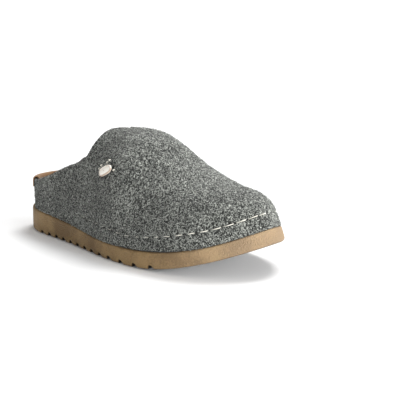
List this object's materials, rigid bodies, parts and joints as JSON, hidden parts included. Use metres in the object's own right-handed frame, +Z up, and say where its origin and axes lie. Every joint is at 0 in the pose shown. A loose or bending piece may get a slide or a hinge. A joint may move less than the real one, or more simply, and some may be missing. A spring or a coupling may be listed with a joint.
{
  "type": "felt clog slipper",
  "caption": "Backless-style felt clog slipper with a low heel collar, contoured footbed and a grooved tan rubber sole with toe spring.",
  "frame": {"origin": "middle of the sole's box in plan, on the ground plane", "axes": "+X from heel to toe, +Y to the inner (medial) side, +Z up"},
  "size_m": [0.2706, 0.1053, 0.1049],
  "materials": {
    "felt": "heathered grey boiled wool felt, matte, with light and dark fibres",
    "sole_rubber": "tan moulded rubber, satin to matte with a fine pebble grain",
    "footbed_suede": "light brown suede, brushed",
    "lining_leather": "tan nubuck, matte",
    "badge_enamel": "cream, satin"
  },
  "bodies": {
    "root": {"outsole": "sole_rubber", "upper": "felt", "footbed": "footbed_suede", "heel_lining": "lining_leather", "badge": "badge_enamel"}
  },
  "joints": []
}
